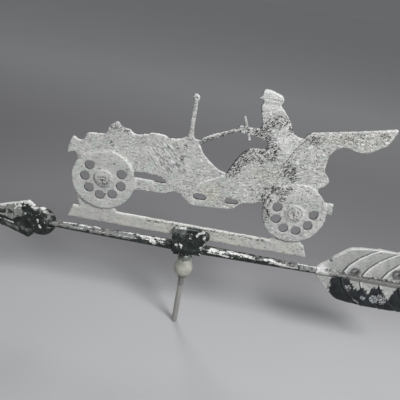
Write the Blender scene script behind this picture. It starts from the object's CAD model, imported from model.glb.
# %% [markdown]
# # A car weathervane, dressed in Blender
#
# The real thing is a flat aluminium casting of an old open motor car, clamped over an arrow that turns
# on a slim steel spindle. The CAD model already has every piece at its true size. This lesson keeps
# that size and adds what a drawing leaves out: soft cast edges, pitted skin, flaking black paint. A
# bump map alone would leave the edges knife sharp, so the castings are remeshed in small faces and
# shaped first, and painted second.

import math

import bmesh
import bpy
import numpy as np
from mathutils import Matrix, Vector, noise


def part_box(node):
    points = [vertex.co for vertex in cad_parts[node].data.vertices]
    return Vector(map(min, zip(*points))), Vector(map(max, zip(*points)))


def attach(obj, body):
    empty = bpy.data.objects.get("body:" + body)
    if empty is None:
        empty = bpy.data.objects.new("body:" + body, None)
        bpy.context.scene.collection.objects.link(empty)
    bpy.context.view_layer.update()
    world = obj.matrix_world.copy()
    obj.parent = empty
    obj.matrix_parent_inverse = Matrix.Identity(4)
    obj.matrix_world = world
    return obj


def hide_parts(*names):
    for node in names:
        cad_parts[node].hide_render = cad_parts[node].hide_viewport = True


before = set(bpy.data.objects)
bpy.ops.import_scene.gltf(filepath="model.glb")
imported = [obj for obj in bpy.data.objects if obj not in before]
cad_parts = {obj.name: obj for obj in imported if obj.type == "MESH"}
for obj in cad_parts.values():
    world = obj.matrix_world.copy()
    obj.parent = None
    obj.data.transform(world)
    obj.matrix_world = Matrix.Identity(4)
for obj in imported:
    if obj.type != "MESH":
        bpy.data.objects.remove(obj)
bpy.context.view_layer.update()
MM = 0.001

# %% [markdown]
# ## Places on the vane
#
# The drawing's own numbers, in millimetres, place every mark. X runs from the arrowhead to the tail,
# Z is up the spindle, and the side that is looked at faces -Y. Places are written (x, z).

# %% Heights and centres
ARROW_Z = 128.75
AXLE_Z = 209.45
HUB_FRONT = (-122.3, AXLE_Z + 2.2)
HUB_REAR = (130.9, AXLE_Z)
HOLE_RING_R = 24.6
HEAD_AT = (70.5, 343.4)
CROSS_Z = 152.75
BOLT_X = 22.0
RIVET_X = 3.0
BLOCK_HALF = 9.0
SCREW_X = -13.85
BARREL_R = 9.5
FEATHER_X = 181.0
PLATE_FRONT = -2.5
RELIEF = 1.2

# %% [markdown]
# ## Recasting a CAD node
#
# A sand casting has no sharp corner anywhere. A bevel modifier fails where hundreds of small faces
# meet, so a merged copy of the node is filled with voxels instead. That gives one closed skin of even
# faces, and a few rounds of smoothing round every corner by about a voxel.

# %% Copies, voxels and pieces
def cad_copy(node):
    """The CAD node's loose triangles, merged into a bmesh of its own."""
    bm = bmesh.new()
    bm.from_mesh(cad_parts[node].data)
    bmesh.ops.remove_doubles(bm, verts=bm.verts, dist=0.002 * MM)
    return bm


def add_object(bm, name):
    mesh = bpy.data.meshes.new(name)
    bm.to_mesh(mesh)
    bm.free()
    piece = bpy.data.objects.new(name, mesh)
    bpy.context.scene.collection.objects.link(piece)
    return piece


def recast(node, voxel, rounds):
    """The node as a closed skin of faces one voxel wide, with softened edges."""
    mould = add_object(cad_copy(node), node + "_mould")
    voxels = mould.modifiers.new("Voxels", "REMESH")
    voxels.mode = "VOXEL"
    voxels.voxel_size = voxel * MM
    bpy.context.view_layer.update()
    depsgraph = bpy.context.evaluated_depsgraph_get()
    skin = bpy.data.meshes.new_from_object(mould.evaluated_get(depsgraph))
    bpy.data.objects.remove(mould)
    bm = bmesh.new()
    bm.from_mesh(skin)
    for _ in range(rounds):
        bmesh.ops.smooth_vert(
            bm, verts=bm.verts, factor=0.5, use_axis_x=True, use_axis_y=True, use_axis_z=True
        )
    return bm


def finish_piece(piece, body, slot, *nodes):
    """Smooth faces, a ride on its body, and the CAD nodes that it stands for."""
    piece.data.shade_smooth()
    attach(piece, body)
    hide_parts(*nodes)
    triangles = sum(len(p.vertices) - 2 for p in piece.data.polygons)
    print(f"{piece.name}: {triangles} triangles on {body}")


# %% [markdown]
# ## Shaping by numbers
#
# Sculpting is moving points along their outward direction. Each mark on the metal is a soft mask, one
# at its middle and zero at its rim, and a shape is a sum of masks times a depth in millimetres. The
# same masks are stored as named attributes, so that the paint can follow the shape.

# %% Read, move and stamp points
def read_points(piece):
    """Every point's place in millimetres, and its outward direction."""
    mesh = piece.data
    places = np.empty(len(mesh.vertices) * 3)
    mesh.vertices.foreach_get("co", places)
    outward = np.empty(len(mesh.vertices) * 3)
    mesh.vertices.foreach_get("normal", outward)
    return places.reshape(-1, 3) / MM, outward.reshape(-1, 3)


def move_points(piece, places):
    piece.data.vertices.foreach_set("co", (places * MM).ravel())
    piece.data.update()


def stamp(piece, name, values):
    """Stores one number a point, from 0 to 1, for the materials to read."""
    layer = piece.data.attributes.new(name, "FLOAT", "POINT")
    layer.data.foreach_set("value", np.clip(values, 0, 1).astype(np.float32))


# %% Soft masks
def ease(values):
    """A smooth step from 0 to 1."""
    t = np.clip(values, 0, 1)
    return t * t * (3 - 2 * t)


def lumps(places, size, octaves, seed=0.0):
    """Soft irregular noise with lumps of about that size, from -1 to 1."""
    grid = places / size + seed
    return np.array([noise.fractal(Vector(p), 1.0, 2.0, octaves) for p in grid])


def spot(places, x, z, across, high=None, lean=0.0):
    """One at (x, z), falling evenly to zero at an ellipse's rim. A lean turns its left end down."""
    angle = math.radians(lean)
    dx = places[:, 0] - x
    dz = places[:, 2] - z
    along = dx * math.cos(angle) + dz * math.sin(angle)
    over = dz * math.cos(angle) - dx * math.sin(angle)
    return np.clip(1 - np.hypot(along / across, over / (high or across)), 0, 1)


def away(places, path):
    """Distance from a path of (x, z) points."""
    nearest = np.full(len(places), 1e9)
    for (ax, az), (bx, bz) in zip(path, path[1:]):
        along = np.array([bx - ax, bz - az], float)
        offset = places[:, [0, 2]] - (ax, az)
        t = np.clip(offset @ along / (along @ along), 0, 1)
        nearest = np.minimum(nearest, np.linalg.norm(offset - t[:, None] * along, axis=1))
    return nearest


def line(places, path, width):
    """One on a path, falling to zero at that distance from it."""
    return ease(1 - away(places, path) / width)


def ring(places, centre, radius, width):
    """One on a circle round (x, z), falling to zero at that distance from it."""
    distance = np.hypot(places[:, 0] - centre[0], places[:, 2] - centre[1])
    return ease(1 - np.abs(distance - radius) / width)


def any_of(*masks):
    return np.maximum.reduce(masks)


# %% [markdown]
# ## The car figure
#
# One plate about 5 mm thick, with the wheels standing proud of its front. The arm and the leg are
# raised only at their upper edge and melt into the body below, so a soft relief takes the place of
# the drawing's flat one.

# %% Recast the figure
THIGH_TOP = [(33, 249), (39, 265), (47, 279), (56, 286), (66, 288), (76, 288.5), (84, 284)]
ARM = [(50, 308), (64, 307), (76, 310), (86, 317)]
figure = add_object(recast("car_figure", voxel=1.1, rounds=2), "figure_casting")
places, outward = read_points(figure)
x, y, z = places.T
front = outward[:, 1] < -0.5
near_driver = (x > 26) & (x < 112) & (z > 226) & (z < 333)
raised = near_driver & (outward[:, 1] < -0.3) & (y > -4.6) & (y < -1.6)
proud = any_of(ease(1 - away(places, THIGH_TOP) / 26), ease(1.15 - away(places, ARM) / 13))
proud = proud * ease((z - 230) / 12)
places[:, 1] = np.where(raised, PLATE_FRONT - RELIEF * proud, y)
print("melted the relief at", int(raised.sum()), "points")

# %% [markdown]
# A few lines were cut into the pattern by hand: the seat, the folds of the coat, the rings of the
# wheels. The driver's head is a plain profile of my own, calm and general, with an eye, an ear and a
# cap band. Lines are sunk and swellings raised by a depth each, all in one sum.

# %% Lines and swellings of the figure
RIM_R = 42.8
RIM_CENTRES = [(-122.8, AXLE_Z), (130.2, AXLE_Z)]
seat_path = [(122, 308.6), (113.6, 297.5), (108.8, 289.4), (105.5, 279), (99, 267)]
seat_line = line(places, seat_path, 1.3)
cloth_folds = any_of(
    line(places, [(121, 311), (136, 303)], 2.0),
    1.5 * line(places, [(90.5, 283), (101, 285)], 1.7),
    line(places, [(133, 308), (141, 307)], 2.0),
)
bonnet_ridge = line(places, [(3, 227), (9.7, 231.2), (22.6, 238.5), (30.4, 243.5)], 2.0)
bonnet_step = line(places, [(-26, 221), (-17, 227), (-8, 227.7), (3, 226.3)], 1.6)
eye = ease(1.4 * spot(places, HEAD_AT[0] - 6.4, HEAD_AT[1] + 0.5, 2.2, 1.5))
ear = ring(places, (HEAD_AT[0] + 3.5, HEAD_AT[1] - 2.5), 2.4, 1.2)
cheek = spot(places, HEAD_AT[0] - 2.0, HEAD_AT[1] - 6.5, 8.0)
cap_path = [(HEAD_AT[0] - 13, HEAD_AT[1] + 7), (HEAD_AT[0] + 13, HEAD_AT[1] + 6.5)]
cap_band = line(places, cap_path, 1.2)
chest = spot(places, 94.0, 302.0, 30.0, 24.0, 30)
rear_ring = ring(places, HUB_REAR, 9.4, 1.8)
hub_crater = ease(1.6 * any_of(spot(places, *HUB_REAR, 12), spot(places, *HUB_FRONT, 12)))
rims = any_of(*[ring(places, centre, RIM_R, 1.6) for centre in RIM_CENTRES])
below_and_above = any_of(*[ease((27 - np.abs(x - centre_x)) / 5) for centre_x, _ in RIM_CENTRES])
wheel_gap = rims * below_and_above * (y > -4.2)
relief = (
    0.75 * bonnet_ridge
    + 0.35 * bonnet_step
    + 0.45 * ear
    + 0.5 * cheek
    + 0.7 * chest
    - 0.4 * seat_line
    - 0.35 * cloth_folds
    - 0.5 * eye
    - 0.4 * cap_band
    - 0.7 * rear_ring
    - 0.3 * wheel_gap
    + hub_crater * (0.2 + 0.9 * lumps(places, 3.2, 3, 4.0))
)
print("marks are up to", round(float(np.abs(relief).max()), 2), "mm high or deep")

# %% [markdown]
# Under its pits the whole skin is wavy. On the bonnet the waves run down to the right, elsewhere they
# lie nearly level, and both are noise that is stretched along one direction.

# %% Waves in the skin
def waves(places, angle, long, short, seed):
    """Noise whose lumps are long in one direction of the plate, which is turned by that angle."""
    a = math.radians(angle)
    x, y, z = places.T
    along = x * math.cos(a) + z * math.sin(a)
    over = z * math.cos(a) - x * math.sin(a)
    return lumps(np.column_stack([along / long, y / 6, over / short]), 1.0, 3, seed)


slanted = ease(1.5 * spot(places, -42, 256, 46, 40, -20))
skin = 0.24 * lumps(places, 10.0, 2)
skin = skin + 0.42 * slanted * waves(places, -42, 7.0, 2.8, 3.0)
skin = skin + 0.30 * (1 - slanted) * waves(places, 8, 4.6, 2.8, 8.0)
column = line(places, [(-4, 285.5), (7, 292.2), (25, 302.8), (38, 305.5)], 5)
slim_pieces = any_of(column, line(places, [(-19, 290), (-19.8, 340)], 5))
skin = skin + 0.55 * slim_pieces
move_points(figure, places + outward * (skin + front * relief)[:, None])
print("the skin goes in and out by", round(float(np.abs(skin).max()), 2), "mm at most")

# %% [markdown]
# Black pits crowd on the arm, the leg, the seat and the rear wheel, and a few lie scattered on the
# bonnet, the hubs, the column and the strip. Each crowd is a soft mask, strongest in its middle.

# %% Pits of the driver, the seat and the rear wheel
sleeve_pits = any_of(
    1.3 * line(places, [(63, 317), (72, 320), (82, 323), (90, 328)], 12),
    1.3 * line(places, [(60, 309), (72, 308), (80, 299), (86, 290), (86, 279)], 12),
    spot(places, 102, 322, 12, 20, -40),
)
thigh_pits = any_of(
    1.6 * line(places, [(38, 251), (45, 264), (55, 276), (67, 281), (80, 283)], 15),
    spot(places, 70, 272, 24, 12),
)
seat_pits = any_of(
    1.5 * spot(places, 110, 267, 19, 17),
    1.4 * spot(places, 119, 257, 11, 10),
    0.8 * spot(places, 126, 272, 12, 9),
)
rear_pits = any_of(
    1.9 * line(places, [(90, 222), (88, 212), (91, 202), (96, 196)], 13),
    1.6 * line(places, [(90, 236), (100, 238), (110, 236), (117, 240)], 10),
    1.2 * spot(places, 110, 226, 9, 8),
    0.45 * spot(places, 128, 212, 52),
)
coat_pits = any_of(
    spot(places, 132, 311, 18, 10),
    spot(places, 171, 319, 24, 11, 8),
    spot(places, 212, 331, 12, 11),
    0.6 * spot(places, 170, 320, 70, 26, 8),
)
driver_pits = 1.2 * any_of(sleeve_pits, thigh_pits, seat_pits, coat_pits)
print("the driver is pitted at", int((driver_pits > 0.5).sum()), "points")

# %% Pits of the bonnet, the hubs, the column and the strip
nose_pits = any_of(
    1.2 * line(places, [(-116, 281), (-108, 284), (-101, 281)], 5),
    1.8 * spot(places, -31, 268, 8, 5),
    1.6 * spot(places, -23, 274, 5),
    1.8 * spot(places, -25, 257, 7, 4, 30),
    1.4 * spot(places, -116, 261, 6),
    spot(places, -110, 233, 6, 4),
    spot(places, -92, 226, 4, 12),
    spot(places, -75, 238, 4),
    spot(places, -62, 268, 4),
    spot(places, -45, 280, 5),
    spot(places, -118, 189, 5),
)
hub_pits = any_of(
    1.9 * spot(places, HUB_FRONT[0], HUB_FRONT[1] - 3, 13, 10),
    1.2 * spot(places, *HUB_REAR, 12),
)
column_pits = any_of(
    1.8 * line(places, [(-4, 283), (8, 289)], 6),
    1.8 * spot(places, 20.5, 297, 8, 5, 30),
    1.4 * line(places, [(26, 299), (40, 305)], 5),
    1.2 * spot(places, 47, 309, 9, 12),
)
strip_pits = any_of(
    line(places, [(-60, 161), (-20, 161), (100, 161)], 4),
    1.3 * spot(places, 44, 159, 5, 4),
    spot(places, 56, 155, 10, 5),
    spot(places, -66, 154, 5, 4),
)
even_pits = 0.12 + 0.22 * ease((x - 20) / 60)
all_pits = any_of(driver_pits, rear_pits, nose_pits, hub_pits, column_pits, strip_pits, even_pits)
on_head = ease((z - 334) / 6)
stamp(figure, "pitted", all_pits * (1 - 0.8 * on_head))
print("the whole figure is pitted at", int((all_pits > 0.5).sum()), "points")

# %% Calm skin and stains
on_strip = ease((168 - z) / 3)
calm = any_of(1.4 * spot(places, *HUB_FRONT, 70), spot(places, *HUB_REAR, 62), 1.2 * on_strip)
stamp(figure, "calm", any_of(calm, 0.5 * on_head))
stamp(figure, "slanted", slanted)
stained = any_of(
    spot(places, 25, 216, 36, 20), spot(places, 80, 256, 25, 12), 0.9 * coat_pits, 0.45 * on_strip
)
stamp(figure, "stained", stained)
print("stained at", int((stained > 0.5).sum()), "points")

# %% [markdown]
# Dirt fills the lines that were cut by hand. The old black paint is still there on the walls that
# face down and towards the arrowhead, and inside the holes and the slots. A wall is found by its
# outward direction, which lies in the plane of the plate.

# %% Dark lines and black walls
below_boss = np.clip((HUB_FRONT[0] - x + HUB_FRONT[1] - z) / 12, 0, 1)
boss_shade = ring(places, HUB_FRONT, 12.2, 1.8) * below_boss
column_foot = line(places, [(-6, 281.4), (7, 288.6), (25, 299.4), (40, 302.6)], 2.2)
scored = any_of(1.8 * seat_line, 1.5 * cloth_folds, 1.5 * rear_ring, cap_band, eye)
post_side = any_of(
    line(places, [(-22.5, 284), (-23, 306), (-22.6, 334)], 2.0),
    1.3 * spot(places, -20, 335.5, 3.4, 2.6),
)
column_patch = 1.5 * spot(places, 20.5, 296.5, 6, 3.5, 30)
scored = any_of(scored, 0.5 * wheel_gap, 1.5 * boss_shade, column_foot, column_patch, post_side)
stamp(figure, "scored", scored * front)
wall = ease(1.6 - 2.4 * np.abs(outward[:, 1]))
to_left = ease(-1.2 * outward[:, 0]) * ease(x / 40) * ease((z - 184) / 6)
to_ground = ease(-1.4 * outward[:, 2])
in_hole = any_of(
    ring(places, HUB_FRONT, HOLE_RING_R, 14),
    ring(places, HUB_REAR, HOLE_RING_R, 14),
    line(places, [(-1, 209), (11, 209)], 9),
    line(places, [(40, 210.5), (52, 210.5)], 9),
    line(places, [(-78, 226), (-60, 225), (-46, 221)], 9),
)
stamp(figure, "old_black", wall * any_of(0.9 * to_left, 0.8 * to_ground, 1.6 * in_hole))
top_edge = wall * ease(1.6 * outward[:, 2] - 0.4)
wheel_top = spot(places, 133, 244, 34, 16)
bright = any_of(1.6 * bonnet_ridge * front, 0.7 * top_edge, 0.8 * chest, 0.5 * wheel_top, 0.6 * on_head)
stamp(figure, "rubbed", bright)
finish_piece(figure, "vane", "figure_metal", "car_figure")

# %% [markdown]
# ## The block
#
# The block, the shaft and the arrowhead are iron under old black paint, which has flaked to a white
# undercoat in ragged patches and worn to grey on the edges. An edge is found from the shape itself:
# its points stand out from their neighbours. The drawing's two lugs are alike, but the photograph
# shows nothing above the figure's strip behind it, so the back lug is squeezed lower here.

# %% Find the edges of a casting
def edge_wear(bm):
    """How far each point stands out from its neighbours, from 0 on a flat to 1 on an edge."""
    bm.verts.ensure_lookup_table()
    heights = np.zeros(len(bm.verts))
    for v in bm.verts:
        middle = Vector()
        for e in v.link_edges:
            middle += e.other_vert(v).co
        heights[v.index] = (v.co - middle / len(v.link_edges)).dot(v.normal)
    pairs = np.array([[v.index for v in e.verts] for e in bm.edges])
    total = heights.copy()
    count = np.ones(len(heights))
    np.add.at(total, pairs[:, 0], heights[pairs[:, 1]])
    np.add.at(total, pairs[:, 1], heights[pairs[:, 0]])
    np.add.at(count, pairs[:, 0], 1)
    np.add.at(count, pairs[:, 1], 1)
    return np.clip(total / count / (0.05 * MM), 0, 1)


# %% Recast the block
bm = recast("saddle_block", voxel=0.55, rounds=3)
edges = edge_wear(bm)
block = add_object(bm, "block_casting")
places, outward = read_points(block)
x, y, z = places.T
white_patches = any_of(
    1.1 * line(places, [(-20, 159.5), (-12, 160.6), (-5, 160.8)], 2.4),
    1.5 * line(places, [(11, 153), (13, 157), (19, 160)], 3.2),
    0.9 * line(places, [(24, 151), (24, 144), (22, 139)], 2.2),
    1.3 * spot(places, -14.5, 134.5, 5, 4),
    1.1 * spot(places, -9, 136, 5, 3.5),
    spot(places, -7.5, 132, 2.5, 5),
    1.1 * spot(places, 20, 135, 5, 7),
    1.1 * spot(places, 19, 126, 4),
    1.1 * spot(places, RIVET_X, 147.6, 3.6, 2.4),
    0.9 * spot(places, 13, 121, 5, 4),
    0.9 * spot(places, 2, 118.5, 12, 5),
)
above_cross = np.clip(z - 151, 0, None) * (y > 2.4)
places[:, 2] -= 0.34 * above_cross
stamp(block, "flaked", white_patches * (outward[:, 1] < 0.3))
lit_top = ease((z - 140) / 16) * ease((8 - x) / 14)
stamp(block, "greyed", any_of(0.45 * lit_top, 0.45 * edges))
rough_cast = 0.22 * lumps(places, 5.0, 3) + 0.1 * lumps(places, 1.8, 2, 3.0)
move_points(block, places + outward * rough_cast[:, None])
finish_piece(block, "vane", "dark_metal", "saddle_block")

# %% [markdown]
# ## The arrow shaft
#
# An eight-sided bar, so its paint is easiest to place on an unrolled strip: distance along the bar
# against the angle round it, where 0 degrees faces the front and 90 faces up. Ten degrees round this
# bar are about a millimetre, so the strip is written in millimetres and tens of degrees.

# %% Recast and unroll the shaft
TOP = 8.4
UPPER = 4.5
shaft = add_object(recast("arrow_shaft", voxel=0.7, rounds=1), "shaft_bar")
places, outward = read_points(shaft)
x, y, z = places.T
turn_deg = np.degrees(np.arctan2(z - ARROW_Z, -y))
unrolled = np.column_stack([x, np.zeros(len(x)), turn_deg / 10])
flake_lines = [
    ([(-172, 7.6), (-156, TOP)], 2.8),
    ([(-149, TOP), (-136, 7.6)], 4.0),
    ([(-130, TOP), (-122, TOP)], 3.6),
    ([(-88, TOP), (-76, TOP)], 3.4),
    ([(-69, 8.2), (-60, 6.4), (-52, UPPER), (-45, 1.6)], 5.6),
    ([(-56, 7.4), (-32, 8.0)], 3.4),
    ([(28, 4.0), (34, 2.6)], 2.2),
    ([(34, 5.2), (42, UPPER), (50, UPPER)], 5.9),
    ([(56, 7.6), (66, 7.0)], 2.8),
    ([(62, 5.6), (78, 5.4), (94, 3.8)], 3.7),
    ([(109, 5.4), (114, 6.2), (121, 4.8)], 4.6),
    ([(122, 3.4), (138, 2.6)], 2.0),
    ([(156, TOP), (180, 7.8)], 2.4),
    ([(30, 1.2), (62, 0.4)], 1.8),
    ([(52, 0.2), (64, -0.4)], 2.2),
    ([(116, 1.2), (155, 0.6)], 1.4),
]
flakes = any_of(*[np.clip(1 - away(unrolled, path) / width, 0, 1) for path, width in flake_lines])
speckles = any_of(
    spot(unrolled, -36, 3.4, 22, 4),
    spot(unrolled, 98, 3.0, 16, 3),
    0.7 * spot(unrolled, 70, 4, 50, 4),
)
arris = line(unrolled, [(-190, 2.3), (-64, 2.2)], 1.3)
stamp(shaft, "flaked", any_of(1.25 * flakes, 0.6 * np.sqrt(speckles), 0.66 * arris))
blotch = spot(unrolled, -104, 3.6, 24, 4)
left_half = ease((-62 - x) / 16)
on_top = ease((turn_deg - 62) / 10)
greyed = any_of(
    0.68 * ease((turn_deg + 14) / 10) * (1 - 0.4 * on_top) * left_half,
    0.3 * ease((turn_deg - 24) / 10) * ease((110 - turn_deg) / 12),
    1.3 * blotch,
    0.64 * ease((turn_deg + 20) / 10) * ease((x - 110) / 30),
)
stamp(shaft, "greyed", greyed)
move_points(shaft, places + outward * (0.16 * lumps(places, 5.0, 3))[:, None])
finish_piece(shaft, "vane", "dark_metal", "arrow_shaft")

# %% [markdown]
# ## The arrowhead
#
# The thickest casting of the vane, and the most worn. Above its long ridge the paint has gone to a
# mottled grey under a white upper edge, and below the ridge it is still black with a green cast.

# %% Recast the arrowhead
RIDGE = [(-306, ARROW_Z), (-262, 127.5), (-243, 126), (-226, 124)]
bm = recast("arrowhead", voxel=0.75, rounds=2)
edges = edge_wear(bm)
arrowhead = add_object(bm, "arrowhead_casting")
places, outward = read_points(arrowhead)
x, _, z = places.T
ridge_z = np.interp(x, [-306, -243, -226], [ARROW_Z, 127, 132])
above_ridge = ease((z - ridge_z) / 4) * ease((-226 - x) / 8)
top_band = line(places, [(-306, 131), (-260, 147), (-241, 154), (-222, 159.5), (-212, 153)], 8)
lobe_light = spot(places, -197, 144, 16, 12) * (z > 130)
chips = any_of(
    1.5 * spot(places, -224, 157, 11, 6, 20),
    1.5 * line(places, [(-216, 156), (-210, 153), (-200, 150)], 3.4),
    1.5 * spot(places, -224.5, 138.5, 4.4),
    1.1 * line(places, [(-207, 135), (-205, 129), (-203, 124)], 3.2),
    spot(places, -200, 146, 6, 4),
    0.9 * spot(places, -197, 131, 4, 5),
    1.1 * line(places, [(-264, 125), (-252, 124), (-243, 122)], 2.0),
    0.9 * line(places, [(-226, 150), (-236, 148), (-240, 143)], 3.0),
)
stamp(arrowhead, "flaked", any_of(chips, 1.6 * top_band, 0.34 * above_ridge, 0.4 * lobe_light))
green_lights = line(places, [(-252, 119), (-238, 114), (-224, 112)], 6)
greyed = any_of(0.72 * above_ridge, 0.45 * lobe_light, 0.3 * green_lights, 0.3 * edges, 0.9 * top_band)
stamp(arrowhead, "greyed", greyed)
ridge = line(places, RIDGE, 3.0) * (outward[:, 1] < 0)
dents = 0.5 * lumps(places, 7.0, 3) + 0.25 * lumps(places, 2.4, 3, 2.0) + 0.7 * ridge
move_points(arrowhead, places + outward * dents[:, None])
finish_piece(arrowhead, "vane", "dark_metal", "arrowhead")

# %% [markdown]
# ## The tail feather
#
# Five leaves lap over each other on each side of a midrib, like a quill. Each leaf stands up at the
# edge nearest the arrow and falls away to the next one. The drawing has flat bands, so the slope and
# the lip are added here from the same curve that the drawing uses for the edge of a leaf.

# %% Recast the feather and find its leaves
FEATHER_UP = 48.5
FEATHER_DOWN = 43
FIRST_LEAF = 37
FIRST_LIP = 4
LEAF_PITCH = 27
bm = recast("tail_feather", voxel=0.75, rounds=2)
edges = edge_wear(bm)
feather = add_object(bm, "feather_casting")
places, outward = read_points(feather)
x, _, z = places.T
above_rib = z - ARROW_Z
drawn_height = np.where(above_rib > 0, above_rib, -above_rib * FEATHER_UP / FEATHER_DOWN)
edge_x = np.interp(drawn_height, [0, 7, 18.5, 31, 42, 50], [0, 0, 5, 15, 28, 40])
past_edge = x - FEATHER_X - edge_x
in_first = past_edge < FIRST_LEAF
from_lip = np.where(in_first, past_edge + FIRST_LIP, (past_edge - FIRST_LEAF) % LEAF_PITCH)
to_next = np.where(in_first, FIRST_LEAF - past_edge, LEAF_PITCH - from_lip)
flat_side = (np.abs(outward[:, 1]) > 0.5) * ease((np.abs(above_rib) - 3.4) / 1.6)
print("the leaves cover", int((flat_side > 0.5).sum()), "of", len(x), "points")


# %% Raise the leaves' lips
def crest(distance, middle, width):
    """One at that distance, fading on both sides of it."""
    return np.exp(-(((distance - middle) / width) ** 2))


lip = crest(from_lip, 1.4, 1.8) * flat_side
groove = crest(to_next, 0.8, 1.2) * flat_side
slope = 0.55 * (1 - from_lip / LEAF_PITCH) * flat_side
bites = any_of(spot(places, 221, 176, 3), spot(places, 211, 172, 2.4), 0.7 * spot(places, 197, 149, 3))
bites = ease(2 * bites)
skin = 0.2 * lumps(places, 7.0, 3) + 0.1 * lumps(places, 2.2, 2, 5.0)
crisp = np.where(above_rib < 0, 0.35, 1.0)
leaf_shape = crisp * (0.45 * lip - 0.6 * groove) + slope - 0.8 * bites
move_points(feather, places + outward * (leaf_shape + skin)[:, None])
print("lips and slopes stand up by", round(float(leaf_shape.max()), 2), "mm at most")

# %% Marks of the feather's silver
on_rib = ease((5.2 - np.abs(above_rib)) / 1.5) * (np.abs(outward[:, 1]) > 0.2)
rib_side = 0.5 * (np.abs(np.abs(above_rib) - 3.8) < 1.0)
hole_rims = any_of(spot(places, 233.5, 138.3, 9, 8), spot(places, 290, 145.3, 11, 10))
hole_rims = ease(2.4 * hole_rims + 0.6 * lumps(places, 3.0, 2, 9.0))
root = 1.5 * spot(places, 186, 136, 14, 9)
stamp(feather, "rubbed", any_of(0.8 * lip, 0.4 * edges, root) * (1 - hole_rims))
stamp(feather, "scored", any_of(groove, bites, rib_side, hole_rims))
stamp(feather, "dulled", on_rib * ease((x - 194) / 8))
stamp(feather, "frayed", ease(1.3 - np.abs(above_rib - 5) / 3) * ease((x - 186) / 10))
stamp(feather, "shaded", ease(from_lip / 26) * flat_side)

# %% [markdown]
# The feather was silvered over black, and most of the lower half has lost its silver. What is left
# hangs down from the rib in ragged tongues, so the black's upper rim is a line of peaks and dips. In
# the black lie a few crazed patches, where the silver broke up into small plates and held.

# %% Where the feather is still black
PEAKS = [
    (184, 122), (212, 127), (228, 126), (239, 113), (246, 110), (250, 118), (261, 106), (263, 122),
    (268, 118), (273, 123), (283, 108), (290, 103), (292, 112), (299, 128), (306, 125), (340, 121),
]
peaks_x, peaks_z = zip(*PEAKS)
wobble = 2.0 * lumps(places, 6.0, 3, 7.0)
black_top = np.interp(x + wobble, peaks_x, peaks_z) + 1.5 * lumps(places, 7.0, 4, 2.0)
into_black = np.minimum(black_top - z, x - 206)
black = np.clip(0.5 + into_black / 12, 0, 1)
silver_patches = any_of(
    1.2 * spot(places, 271, 100, 10, 8, -20),
    1.4 * spot(places, 281, 102, 12, 7, -50),
    1.3 * spot(places, 231, 112, 7, 5, -50),
    0.9 * spot(places, 256, 99, 7, 4, -30),
    0.8 * spot(places, 248, 92, 8, 3, -30),
)
stamp(feather, "black", black)
stamp(feather, "crazed", silver_patches)
stamp(feather, "pitted", 0.3 + 0.35 * ease(0.4 + lumps(places, 12.0, 2, 6.0)) + 0.3 * on_rib)
finish_piece(feather, "vane", "dark_metal", "tail_feather")

# %% [markdown]
# ## The turned pieces
#
# The ball, the spindle, the domed bolt and the rivet all come off a lathe, and so they do here: half
# of the outline is drawn as a chain of points and spun a full turn about its axis. A lathe leaves a
# tiny round on each corner, which the chain has too.

# %% Spin an outline
def turned(outline, place, steps):
    """A closed outline of (radius, height) points in millimetres, spun about its own axis."""
    bm = bmesh.new()
    verts = [bm.verts.new((r * MM, 0, h * MM)) for r, h in outline]
    for a, b in zip(verts, verts[1:]):
        bm.edges.new((a, b))
    if outline[0][0] > 0 or outline[-1][0] > 0:
        bm.edges.new((verts[-1], verts[0]))
    chain = bm.verts[:] + bm.edges[:]
    origin = (0, 0, 0)
    bmesh.ops.spin(
        bm, geom=chain, cent=origin, axis=(0, 0, 1), dvec=origin, angle=math.tau, steps=steps, use_merge=True
    )
    bmesh.ops.remove_doubles(bm, verts=bm.verts, dist=0.001 * MM)
    bmesh.ops.recalc_face_normals(bm, faces=bm.faces)
    bmesh.ops.transform(bm, matrix=place, verts=bm.verts)
    return bm


def arc(centre_h, radius, first, last, count):
    """Points (radius, height) of an arc round a centre on the axis, between two angles in degrees."""
    angles = [math.radians(first + (last - first) * i / count) for i in range(count + 1)]
    return [(radius * math.cos(a), centre_h + radius * math.sin(a)) for a in angles]


def at(x, y, z, turn=None):
    return Matrix.Translation((x * MM, y * MM, z * MM)) @ (turn or Matrix.Identity(4))


TO_FRONT = Matrix.Rotation(math.pi / 2, 4, "X")

# %% [markdown]
# The ball is threaded loosely on the spindle. It has a short neck below and a wide collar above that
# narrows up to the block, and its glazed skin is a little uneven.

# %% The spacer ball
BALL_Z = 95.05
BALL_R = 13.2
COLLAR_R = 11.0
NECK_R = 5.8
BORE_R = 4.36
ball_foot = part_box("spacer_ball")[0].z / MM
ball_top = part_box("spacer_ball")[1].z / MM
low_angle = -math.degrees(math.acos(NECK_R / BALL_R))
high_angle = math.degrees(math.acos(COLLAR_R / BALL_R))
ball_outline = (
    [(BORE_R, ball_foot), (NECK_R - 0.6, ball_foot), (NECK_R, ball_foot + 0.6)]
    + arc(BALL_Z, BALL_R, low_angle, high_angle - 3, 24)
    + [(COLLAR_R - 0.2, BALL_Z + 8.4), (COLLAR_R - 0.6, BALL_Z + 10.0), (COLLAR_R - 0.9, BALL_Z + 13.0)]
    + [(COLLAR_R - 1.3, ball_top - 3.0), (COLLAR_R - 2.0, ball_top - 0.8), (COLLAR_R - 3.2, ball_top)]
    + [(BORE_R, ball_top)]
)
ball = add_object(turned(ball_outline, at(0, 0, 0), steps=72), "spacer_ball_turned")
places, outward = read_points(ball)
on_outside = np.hypot(places[:, 0], places[:, 1]) > BORE_R + 0.5
move_points(ball, places + outward * (on_outside * 0.12 * lumps(places, 9.0, 2))[:, None])
finish_piece(ball, "ball", "ball_glaze", "spacer_ball")

# %% [markdown]
# The spindle is one rod with three widths: the foot is turned down a little to fit its stand, and the
# thin pivot at the top is hidden in the block.

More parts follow.
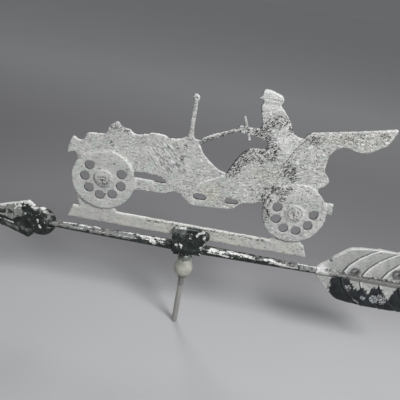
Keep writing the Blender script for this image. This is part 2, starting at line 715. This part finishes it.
# %% The spindle
FOOT_R = 4.0
ROD_R = 4.3
PIVOT_R = 3.0
SHOULDER_Z = 65.0
PIVOT_Z = 116.35
spindle_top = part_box("spindle")[1].z / MM
foot = [(0, 0), (FOOT_R - 0.6, 0), (FOOT_R - 0.15, 0.2), (FOOT_R, 0.8), (FOOT_R, SHOULDER_Z - 1)]
shoulder = [(FOOT_R, SHOULDER_Z), (ROD_R - 0.1, SHOULDER_Z), (ROD_R, SHOULDER_Z + 0.3)]
rod_end = [(ROD_R, PIVOT_Z - 0.3), (ROD_R - 0.3, PIVOT_Z), (PIVOT_R, PIVOT_Z)]
tip = [(PIVOT_R, spindle_top - 0.3), (PIVOT_R - 0.3, spindle_top), (0, spindle_top)]
spindle = add_object(turned(foot + shoulder + rod_end + tip, at(0, 0, 0), steps=40), "spindle_rod")
finish_piece(spindle, "mast", "steel", "spindle")

# %% [markdown]
# The bolt's head is the cap of a large sphere, whose radius follows from the width and the height of
# the cap. The rivet's end was rolled over, so a small hole stays in its middle. Both were painted
# along with the block, so they get flaked spots of their own.

# %% The domed bolt
BOLT_R = 2.5
DOME_R = 5.2
DOME_H = 3.2
bolt_end = -BLOCK_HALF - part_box("figure_bolt")[1].y / MM
sphere_r = (DOME_R**2 + DOME_H**2) / (2 * DOME_H)
dome_edge = math.degrees(math.asin((sphere_r - DOME_H) / sphere_r))
bolt_outline = arc(DOME_H - sphere_r, sphere_r, 90, dome_edge + 4, 8)
bolt_outline += [(DOME_R, 0.35), (DOME_R - 0.2, 0), (BOLT_R, 0), (BOLT_R, bolt_end + 0.5)]
bolt_outline += [(BOLT_R - 0.5, bolt_end), (0, bolt_end)]
bolt_place = at(BOLT_X, -BLOCK_HALF, CROSS_Z, TO_FRONT)
bolt = add_object(turned(bolt_outline, bolt_place, steps=32), "lug_bolt")
places, outward = read_points(bolt)
stamp(bolt, "flaked", 1.6 * spot(places, BOLT_X - 0.4, CROSS_Z + 0.6, 2.7, 4.6))
stamp(bolt, "greyed", spot(places, BOLT_X - 1, CROSS_Z, 5, 6))
finish_piece(bolt, "vane", "dark_metal", "figure_bolt")

# %% The hollow rivet
RIVET_R = 2.0
RIVET_HEAD_R = 3.5
RIVET_HEAD_H = 1.6
EYELET_R = 1.4
EYELET_DEPTH = 2.4
through = 2 * BLOCK_HALF
front_head = [(EYELET_R, -EYELET_DEPTH), (EYELET_R, 0.9), (1.8, RIVET_HEAD_H)]
front_head += [(2.4, RIVET_HEAD_H - 0.1), (3.2, 0.9)]
shank = [(RIVET_HEAD_R, 0), (RIVET_R, 0), (RIVET_R, -through), (RIVET_HEAD_R, -through)]
back_head = [(3.0, -through - 1.1), (0, -through - RIVET_HEAD_H), (0, -EYELET_DEPTH)]
rivet_place = at(RIVET_X, -BLOCK_HALF, CROSS_Z, TO_FRONT)
rivet = add_object(turned(front_head + shank + back_head, rivet_place, steps=28), "lug_rivet")
places, outward = read_points(rivet)
stamp(rivet, "flaked", 1.3 * spot(places, RIVET_X, CROSS_Z - 3.4, 2.6, 1.6))
stamp(rivet, "greyed", np.full(len(places), 0.4))
finish_piece(rivet, "vane", "dark_metal", "figure_rivet")

# %% [markdown]
# ## The square nut and the square-headed set screw
#
# Old square hardware is sawn from bar, and its corners are then knocked off: a cube with bevelled
# edges.

# %% Square pieces
def sawn_block(size, place, round_off):
    """A bar's end, with rounded edges."""
    bm = bmesh.new()
    bmesh.ops.create_cube(bm, size=1)
    bmesh.ops.scale(bm, vec=[s * MM for s in size], verts=bm.verts)
    bmesh.ops.bevel(
        bm, geom=bm.edges[:], offset=round_off * MM, segments=3, profile=0.5, affect="EDGES", material=-1
    )
    bmesh.ops.transform(bm, matrix=place, verts=bm.verts)
    return bm


NUT_W = 9.0
NUT_T = 4.0
nut_place = at(BOLT_X, BLOCK_HALF + NUT_T / 2, CROSS_Z)
nut = add_object(sawn_block((NUT_W, NUT_T, NUT_W), nut_place, 0.7), "lug_nut")
finish_piece(nut, "vane", "steel", "figure_nut")

HEAD_W = 8.0
SUNK_IN = 0.4
screw_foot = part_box("shaft_screw")[0].z / MM
head_h = ARROW_Z - BARREL_R + SUNK_IN - screw_foot
screw_place = at(SCREW_X, 0, screw_foot + head_h / 2)
screw = add_object(sawn_block((HEAD_W, HEAD_W, head_h), screw_place, 0.6), "shaft_set_screw")
finish_piece(screw, "vane", "dark_metal", "shaft_screw")

# %% [markdown]
# ## Writing materials as sums
#
# A worn surface is a stack of masks. Blender keeps such sums as Math nodes, which are slow to read,
# so one small class wraps a socket and lets Python's own signs add the nodes. A second one adds nodes
# to a tree, and a third knows the patterns that the vane's finishes are made of.

# %% A socket with Python's signs
class Field:
    """A number or a colour that changes over the surface."""

    def __init__(self, nodes, socket):
        self.nodes = nodes
        self.socket = socket

    def maths(self, operation, first, second):
        return self.nodes.add("ShaderNodeMath", {"operation": operation}, first, second)

    def __add__(self, other):
        return self.maths("ADD", self, other)

    def __sub__(self, other):
        return self.maths("SUBTRACT", self, other)

    def __rsub__(self, other):
        return self.maths("SUBTRACT", other, self)

    def __mul__(self, other):
        return self.maths("MULTIPLY", self, other)

    __radd__ = __add__
    __rmul__ = __mul__

    def at_most(self, other):
        return self.maths("MINIMUM", self, other)

    def ramp(self, low, high):
        """Zero at low and one at high, with soft ends."""
        settings = {"interpolation_type": "SMOOTHSTEP", "clamp": True}
        return self.nodes.add("ShaderNodeMapRange", settings, self, low, high)


# %% A tree of nodes
# A Mix node has sockets for every kind of value, and these are the places of its colours.
COLOUR_BELOW = 6
COLOUR_ABOVE = 7
COLOUR_OUT = 2


class Nodes:
    """The nodes of a material or of the room, and the one method that adds them."""

    def __init__(self, tree):
        self.tree = tree

    def put(self, value, socket):
        """A link, a colour, a vector or a number goes into the socket."""
        if isinstance(value, Field):
            self.tree.links.new(value.socket, socket)
        elif socket.type == "RGBA":
            socket.default_value = (*value, 1)
        else:
            socket.default_value = value

    def add(self, kind, settings, *values, output=0, **named):
        """A node of that kind, its settings first and then the values or links of its sockets."""
        node = self.tree.nodes.new(kind)
        for key, value in settings.items():
            setattr(node, key, value)
        for index, value in enumerate(values):
            self.put(value, node.inputs[index])
        for key, value in named.items():
            self.put(value, node.inputs[key.replace("_", " ")])
        return Field(self, node.outputs[output])

    def blend(self, mask, below, above):
        """One colour laid over another where the mask is one."""
        settings = {"data_type": "RGBA", "clamp_factor": True}
        mixed = self.add("ShaderNodeMix", settings, mask, output=COLOUR_OUT)
        self.put(below, mixed.socket.node.inputs[COLOUR_BELOW])
        self.put(above, mixed.socket.node.inputs[COLOUR_ABOVE])
        return mixed

    def layers(self, ground, *coats):
        """A ground colour under several coats in turn, each with the mask that shows it."""
        for mask, colour in coats:
            ground = self.blend(mask, ground, colour)
        return ground


# %% A finish and its patterns
class Finish(Nodes):
    """One material, with the patterns that its colours and its relief are made of."""

    def __init__(self, name):
        self.material = bpy.data.materials.new(name)
        self.material.use_nodes = True
        super().__init__(self.material.node_tree)
        self.shader = self.tree.nodes["Principled BSDF"]
        self.place = self.add("ShaderNodeTexCoord", {}, output="Object")

    def coordinate(self, axis):
        """The place along that one axis, in metres."""
        return self.add("ShaderNodeSeparateXYZ", {}, self.place, output=axis)

    def stretched(self, size, along, lean):
        """The place in lumps of that many millimetres, longer in a direction that leans down."""
        scale = [size * MM * s for s in along]
        rotation = (0, math.radians(lean), 0)
        settings = {"vector_type": "TEXTURE"}
        return self.add("ShaderNodeMapping", settings, self.place, Rotation=rotation, Scale=scale)

    def grain(self, size, detail, rough=0.55, along=(1, 1, 1), lean=0.0, twist=0.0):
        """Noise whose lumps are about that many millimetres, mostly from 0.3 to 0.7."""
        place = self.stretched(size, along, lean)
        sockets = {"Vector": place, "Scale": 1.0, "Detail": detail, "Roughness": rough, "Distortion": twist}
        return self.add("ShaderNodeTexNoise", {}, **sockets)

    def warped(self, size, along, lean):
        """The same, pushed about by noise, so that cells drawn on it have ragged sides."""
        place = self.stretched(size, along, lean)
        warp = self.add("ShaderNodeTexNoise", {}, Vector=place, Scale=1.6, Detail=2.0, output="Color")
        shift = self.add("ShaderNodeVectorMath", {"operation": "SCALE"}, warp, Scale=0.9)
        return self.add("ShaderNodeVectorMath", {"operation": "ADD"}, place, shift)

    def pinholes(self, size, share, along=(1, 1, 1), lean=0.0):
        """Small irregular holes, one to a cell, in about that share of the cells."""
        place = self.warped(size, along, lean)
        distance = self.add("ShaderNodeTexVoronoi", {}, Vector=place, Scale=1.0, output="Distance")
        chance = self.add("ShaderNodeTexVoronoi", {}, Vector=place, Scale=1.0, output="Color")
        radius = ((share - chance) * 2 + 0.12).at_most(0.4)
        return (radius - distance).ramp(0.0, 0.12)

    def mark(self, name):
        """A number that was stamped on the points."""
        return self.add("ShaderNodeAttribute", {"attribute_name": name}, output="Fac")

    def finish_with(self, colour, rough, metal, height, depth):
        """The surface's colour, roughness and metal share, and a relief of that depth in millimetres."""
        bump = self.add("ShaderNodeBump", {}, Height=height, Distance=depth * MM, Strength=1.0)
        sockets = {"Base Color": colour, "Roughness": rough, "Metallic": metal, "Normal": bump}
        for name, value in sockets.items():
            self.put(value, self.shader.inputs[name])
        print(f"{self.material.name}: {len(self.tree.nodes)} nodes")


# %% [markdown]
# ## Old aluminium
#
# Outdoors, cast aluminium turns a dull chalky grey with greenish, violet and warm patches. The skin
# is drawn in fine wrinkles, and black pits crowd where the sand broke up. Most pits are the middle of
# a Voronoi cell, and the stamped mask says what share of the cells has one.

# %% Wrinkles and pits of the figure's metal
metal = Finish("weathered_aluminium")
slanted, pitted, scored, rubbed = map(metal.mark, ("slanted", "pitted", "scored", "rubbed"))
stained, old_black, calm = map(metal.mark, ("stained", "old_black", "calm"))
clouds = metal.grain(24, 3)
tints = metal.grain(11, 3, twist=1.0)
level_wrinkle = metal.grain(2.2, 4, 0.6, along=(1.9, 1, 1), lean=-10, twist=1.1)
slant_wrinkle = metal.grain(2.2, 4, 0.6, along=(2.9, 1, 1), lean=42, twist=0.7)
wrinkle = level_wrinkle * (1 - slanted) + slant_wrinkle * slanted
wrinkle = (wrinkle - 0.5) * (1 - calm * 0.5) + 0.5
speck = metal.grain(1.2, 3, 0.7)
cluster = metal.grain(5, 3, 0.7)
share = pitted * (cluster.ramp(0.3, 0.65) * 0.55 + 0.5)
small_pits = metal.pinholes(1.7, share * 1.05 - 0.02, along=(1.4, 1, 0.8), lean=35)
large_pits = metal.pinholes(2.7, share * 0.85 - 0.18, along=(1.7, 1, 0.7), lean=-40)
strokes = metal.grain(1.9, 3, 0.65, along=(1.8, 1, 0.8), lean=-35, twist=0.6)
torn = (strokes + share * 0.16).ramp(0.67, 0.71)
pits = small_pits + large_pits + torn
print("wrinkles and pits take", len(metal.tree.nodes), "nodes")

# %% [markdown]
# The colours lie over each other as coats. The chalky metal is the ground, then come patches of green
# and violet, brown stains, the dark and the light of the wrinkles, rubbed places and dirty lines, and
# last the soot on the walls and the pits.

# %% Colours of the figure's metal
soot = (old_black + speck * 0.5 - 0.25).ramp(0.3, 0.6)
skin_tone = metal.layers(
    metal.blend(clouds.ramp(0.35, 0.65), (0.43, 0.43, 0.415), (0.53, 0.525, 0.50)),
    (tints.ramp(0.5, 0.66) * 0.55, (0.43, 0.50, 0.47)),
    ((1 - tints).ramp(0.5, 0.66) * 0.4, (0.50, 0.47, 0.50)),
    (stained * clouds.ramp(0.3, 0.6) * 0.6, (0.42, 0.39, 0.30)),
    (wrinkle.ramp(0.50, 0.38) * (slanted * 0.2 + 0.7), (0.17, 0.175, 0.17)),
    (wrinkle.ramp(0.56, 0.66) * 0.8, (0.80, 0.80, 0.79)),
    (speck.ramp(0.42, 0.32) * 0.6, (0.13, 0.13, 0.13)),
    (rubbed * speck.ramp(0.3, 0.6) * 0.6, (0.84, 0.84, 0.83)),
    (scored * speck.ramp(0.62, 0.42) * 0.9, (0.09, 0.09, 0.09)),
    (soot, (0.018, 0.018, 0.017)),
    (pits, (0.03, 0.03, 0.03)),
)
height = wrinkle * 1.5 + speck * 0.3 - pits * 0.5
metal.finish_with(skin_tone, 0.5 + speck * 0.2 + pits * 0.2, 0.2 - soot * 0.2, height, 0.9)

# %% [markdown]
# ## Flaking black paint on iron
#
# Three layers show at once: black paint with a green cast, grey where it is worn thin, and a chalky
# white undercoat where it flaked. A noisy threshold on the stamped mask gives the flakes their
# ragged, crisp rims, and the same mask lowers the surface by a paint's depth.

# %% The painted iron
def painted_iron(name, flake_size, long, mottle, grey):
    """Old paint whose flakes are that many times longer along the arrow than across it."""
    paint = Finish(name)
    flake = paint.grain(flake_size, 6, 0.75, along=(long, 1, 1), twist=0.6)
    fine = paint.grain(1.1, 3, 0.65)
    cloud = paint.grain(flake_size * 2, 4, 0.65)
    flaked, greyed = map(paint.mark, ("flaked", "greyed"))
    bare = (flaked + (flake - 0.5) * 3.6 + (fine - 0.5) * 1.2).ramp(0.64, 0.74)
    thin = (greyed + (cloud - 0.5) * mottle + (fine - 0.5) * 1.4).ramp(0.25, 0.7)
    worn_grey = paint.blend(fine.ramp(0.35, 0.65), grey, (0.26, 0.265, 0.255))
    chalk = paint.blend(fine.ramp(0.36, 0.58), (0.22, 0.23, 0.215), (0.74, 0.74, 0.72))
    tone = paint.layers(
        paint.blend(cloud.ramp(0.4, 0.62), (0.009, 0.011, 0.010), (0.020, 0.028, 0.024)),
        (fine.ramp(0.55, 0.75) * 0.4, (0.07, 0.08, 0.075)),
        (thin * 0.9, worn_grey),
        (bare, chalk),
    )
    height = (1 - bare) * 0.8 + fine * 0.5 + flake * 0.5
    paint.finish_with(tone, 0.42 + fine * 0.3 + bare * 0.15, 0.0, height, 0.4)
    paint.shader.inputs["Specular IOR Level"].default_value = 0.3
    return paint


block_paint = painted_iron("black_paint_on_iron", 3.0, 1.0, 1.4, (0.08, 0.095, 0.085))
shaft_paint = painted_iron("worn_paint_on_the_bar", 3.0, 2.4, 3.0, (0.13, 0.13, 0.13))
head_paint = painted_iron("weathered_paint_of_the_head", 5.0, 1.0, 3.4, (0.13, 0.135, 0.125))

# %% [markdown]
# ## The feather's two skins
#
# One mask divides the silver from the black, and each side has its own marks: sparse pinholes in the
# silver, faint lights and crazed patches in the black.

# %% Silver over black
GRIME = (0.05, 0.05, 0.05)
silver = Finish("silver_over_black")
soft = silver.grain(12, 3)
medium = silver.grain(2.2, 4, 0.6, along=(1.6, 1, 1), lean=-30)
small = silver.grain(0.9, 3, 0.65)
edge_noise = silver.grain(4.0, 5, 0.75, along=(0.8, 1, 1.3))
silver_marks = ("rubbed", "scored", "dulled", "frayed", "shaded")
rubbed, scored, dulled, frayed, shaded = map(silver.mark, silver_marks)
black = (silver.mark("black") + (edge_noise - 0.5) * 2.2 + (small - 0.5) * 0.4).ramp(0.47, 0.53)
cells = silver.warped(3.6, (1.2, 1, 0.9), -40)
to_edge = silver.add("ShaderNodeTexVoronoi", {"feature": "DISTANCE_TO_EDGE"}, Vector=cells, Scale=1.0)
crazed = (silver.mark("crazed") + (edge_noise - 0.5) * 1.6).ramp(0.3, 0.4) * to_edge.ramp(0.06, 0.12)
holes = silver.pinholes(2.2, silver.mark("pitted") * 0.75 - 0.22)
ink = silver.layers(
    silver.blend(soft.ramp(0.4, 0.62), (0.006, 0.007, 0.008), (0.014, 0.018, 0.020)),
    (small.ramp(0.58, 0.74) * 0.4, (0.08, 0.09, 0.095)),
    (rubbed * small.ramp(0.4, 0.6) * 0.25, (0.25, 0.27, 0.27)),
)
two_skins = silver.layers(
    silver.blend(soft.ramp(0.35, 0.65), (0.36, 0.37, 0.355), (0.47, 0.47, 0.455)),
    (medium.ramp(0.50, 0.38) * 0.5, (0.20, 0.21, 0.20)),
    (shaded * 0.5, (0.26, 0.265, 0.255)),
    (rubbed * 0.8, (0.76, 0.76, 0.75)),
    (dulled * 0.85, (0.15, 0.148, 0.14)),
    (frayed * edge_noise.ramp(0.50, 0.44), GRIME),
    (frayed * edge_noise.ramp(0.56, 0.60) * 0.8, (0.62, 0.62, 0.60)),
    (scored * 0.85, GRIME),
    (holes, GRIME),
    (black, ink),
    (black * crazed, (0.30, 0.31, 0.32)),
)
height = (1 - black) * 0.6 + medium * 0.5 + small * 0.3 - holes * 0.7
silver.finish_with(two_skins, 0.46 + small * 0.22, 0.2 - black * 0.2, height, 0.35)
silver.shader.inputs["Specular IOR Level"].default_value = 0.3

# %% [markdown]
# ## Steel and the ball's glaze
#
# The spindle is dull drawn steel with long fine lines and a little rust, and it is dirtier above its
# foot, which the stand kept clean. The ball is a hard off-white glaze, faintly green, with the paint
# of the block rubbed on to its collar and a dark rim where rain dried underneath.

# %% Steel
steel = Finish("dull_drawn_steel")
drawn_lines = steel.grain(0.4, 3, 0.6, along=(1, 1, 40))
rust = steel.grain(5, 4, 0.65)
upward = steel.coordinate("Z")
sooty = upward.ramp((SHOULDER_Z - 1) * MM, (SHOULDER_Z + 3) * MM) * upward.ramp(140 * MM, 120 * MM)
steel_tone = steel.layers(
    steel.blend(drawn_lines.ramp(0.3, 0.7), (0.24, 0.24, 0.225), (0.44, 0.44, 0.42)),
    (rust.ramp(0.52, 0.68) * 0.5, (0.20, 0.19, 0.14)),
    (sooty * (rust * 0.4 + 0.5), (0.10, 0.10, 0.10)),
)
steel.finish_with(steel_tone, 0.36 + rust * 0.3, 0.5 - sooty * 0.4, drawn_lines + rust, 0.06)

# %% Glaze
glaze = Finish("off_white_glaze")
milk = glaze.grain(9, 3)
smudge = glaze.grain(2.6, 4, 0.7)
upward = glaze.coordinate("Z")
near_block = upward.ramp((BALL_Z + 11) * MM, (ball_top + 1) * MM)
underneath = upward.ramp((BALL_Z - 8) * MM, (BALL_Z - 13) * MM)
rubbed_on = (near_block * 0.7 + (smudge - 0.5) * 2.2).ramp(0.3, 0.45) * near_block.ramp(0.0, 0.2)
glaze_tone = glaze.layers(
    glaze.blend(milk.ramp(0.35, 0.65), (0.27, 0.27, 0.24), (0.355, 0.355, 0.31)),
    (underneath * 0.6, (0.12, 0.12, 0.105)),
    (rubbed_on, (0.08, 0.09, 0.08)),
)
glaze.finish_with(glaze_tone, 0.34 + smudge * 0.2, 0.0, milk + smudge * 0.5, 0.08)

# %% [markdown]
# ## Putting the finishes on
#
# The pins, the washer, the bearing ball and the tail's rivets keep the drawing's own meshes, and only
# their material slots get something better.

# %% Put the finishes on
finishes = {
    metal: [figure],
    block_paint: [block, screw, bolt, rivet],
    shaft_paint: [shaft],
    head_paint: [arrowhead],
    silver: [feather],
    steel: [spindle, nut],
    glaze: [ball],
}
for finish, dressed in finishes.items():
    for piece in dressed:
        piece.data.materials.clear()
        piece.data.materials.append(finish.material)
kept_nodes = {
    steel: ["stop_pin", "ball_washer", "pivot_ball"],
    silver: ["tail_rivet_front", "tail_rivet_rear"],
    head_paint: ["head_pin"],
}
for finish, names in kept_nodes.items():
    for name in names:
        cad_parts[name].material_slots[0].material = finish.material
print("finishes:", [finish.material.name for finish in finishes])

# %% [markdown]
# ## Floor and light
#
# One large lamp lights the vane from the upper right, and a weak one on the left and the room itself
# lift the shade. The third lamp is a narrow weak beam, so that the back of the vane can be read without
# a bright floor behind it. The floor is pale up to the vane and then eases into a grey, which ends
# again far off and to the sides. The room lights the metal with a pale grey, but the camera and the
# reflections see it as dark as the far floor.

# %% Floor
FLOOR_HALF = 15.0
bm = bmesh.new()
bmesh.ops.create_grid(bm, x_segments=2, y_segments=2, size=FLOOR_HALF)
floor = add_object(bm, "floor")
floor_finish = Finish("pale_floor")
floor_cloud = floor_finish.grain(300, 2)
floor_tone = floor_finish.blend(floor_cloud, (0.31, 0.31, 0.315), (0.33, 0.33, 0.335))
backward = floor_finish.coordinate("Y")
sideways = floor_finish.coordinate("X")
shade = backward.ramp(0.0, 0.28) * backward.ramp(1.8, 0.4) * (sideways * sideways).ramp(7.0, 0.8)
floor_tone = floor_finish.blend(shade, floor_tone, (0.160, 0.157, 0.164))
floor_finish.finish_with(floor_tone, 0.85, 0.0, floor_cloud, 0.01)
floor.data.materials.append(floor_finish.material)

# %% Light
world = bpy.data.worlds.new("soft_room")
bpy.context.scene.world = world
world.use_nodes = True
room = Nodes(world.node_tree)
camera_ray, mirror_ray, glass_ray = [
    room.add("ShaderNodeLightPath", {}, output=f"Is {kind} Ray")
    for kind in ("Camera", "Glossy", "Transmission")
]
in_view = camera_ray + mirror_ray + glass_ray
room_tone = room.blend(in_view, (0.42, 0.43, 0.44), (0.138, 0.140, 0.146))
room.put(room_tone, room.tree.nodes["Background"].inputs["Color"])


def soft_lamp(name, place, target, size, power, spread=180):
    lamp = bpy.data.lights.new(name, "AREA")
    lamp.spread = math.radians(spread)
    lamp.shape = "DISK"
    lamp.size = size
    lamp.energy = power
    holder = bpy.data.objects.new(name, lamp)
    bpy.context.scene.collection.objects.link(holder)
    holder.location = place
    holder.rotation_euler = (Vector(target) - Vector(place)).to_track_quat("-Z", "Y").to_euler()
    print(f"{name}: {power} W, {size} m wide")


soft_lamp("key_upper_right", (0.85, -0.95, 1.45), (0.02, 0, 0.2), 0.7, 38)
soft_lamp("fill_left", (-1.6, -1.4, 0.7), (0.02, 0, 0.2), 1.2, 3)
soft_lamp("fill_behind", (-0.5, 1.2, 1.1), (0.02, 0, 0.22), 0.6, 1.1, 55)

# %% [markdown]
# ## The camera
#
# The photograph looks down at the vane from the front, at 25 degrees, with the camera rolled by about
# 10 degrees. Its place was worked out from the spindle, the straight shaft and the round wheels.

# %% Camera
PITCH = math.radians(25)
ROLL = math.radians(10.2)
CAMERA_AT = (0.0065, -0.57424, 0.47068)
camera_data = bpy.data.cameras.new("camera")
camera_data.sensor_width = 36
camera_data.lens = 43.2
camera_data.clip_start = 0.01
camera = bpy.data.objects.new("camera", camera_data)
bpy.context.scene.collection.objects.link(camera)
look = Vector((0, math.cos(PITCH), -math.sin(PITCH)))
level_up = Vector((0, math.sin(PITCH), math.cos(PITCH)))
level_right = Vector((1, 0, 0))
right = level_right * math.cos(ROLL) + level_up * math.sin(ROLL)
up = level_up * math.cos(ROLL) - level_right * math.sin(ROLL)
turn = Matrix((right, up, -look)).transposed().to_4x4()
camera.matrix_world = Matrix.Translation(CAMERA_AT) @ turn
bpy.context.scene.camera = camera
bpy.context.scene.view_settings.view_transform = "Standard"
print("camera is", round(Vector(CAMERA_AT).length, 3), "m from the spindle's foot")
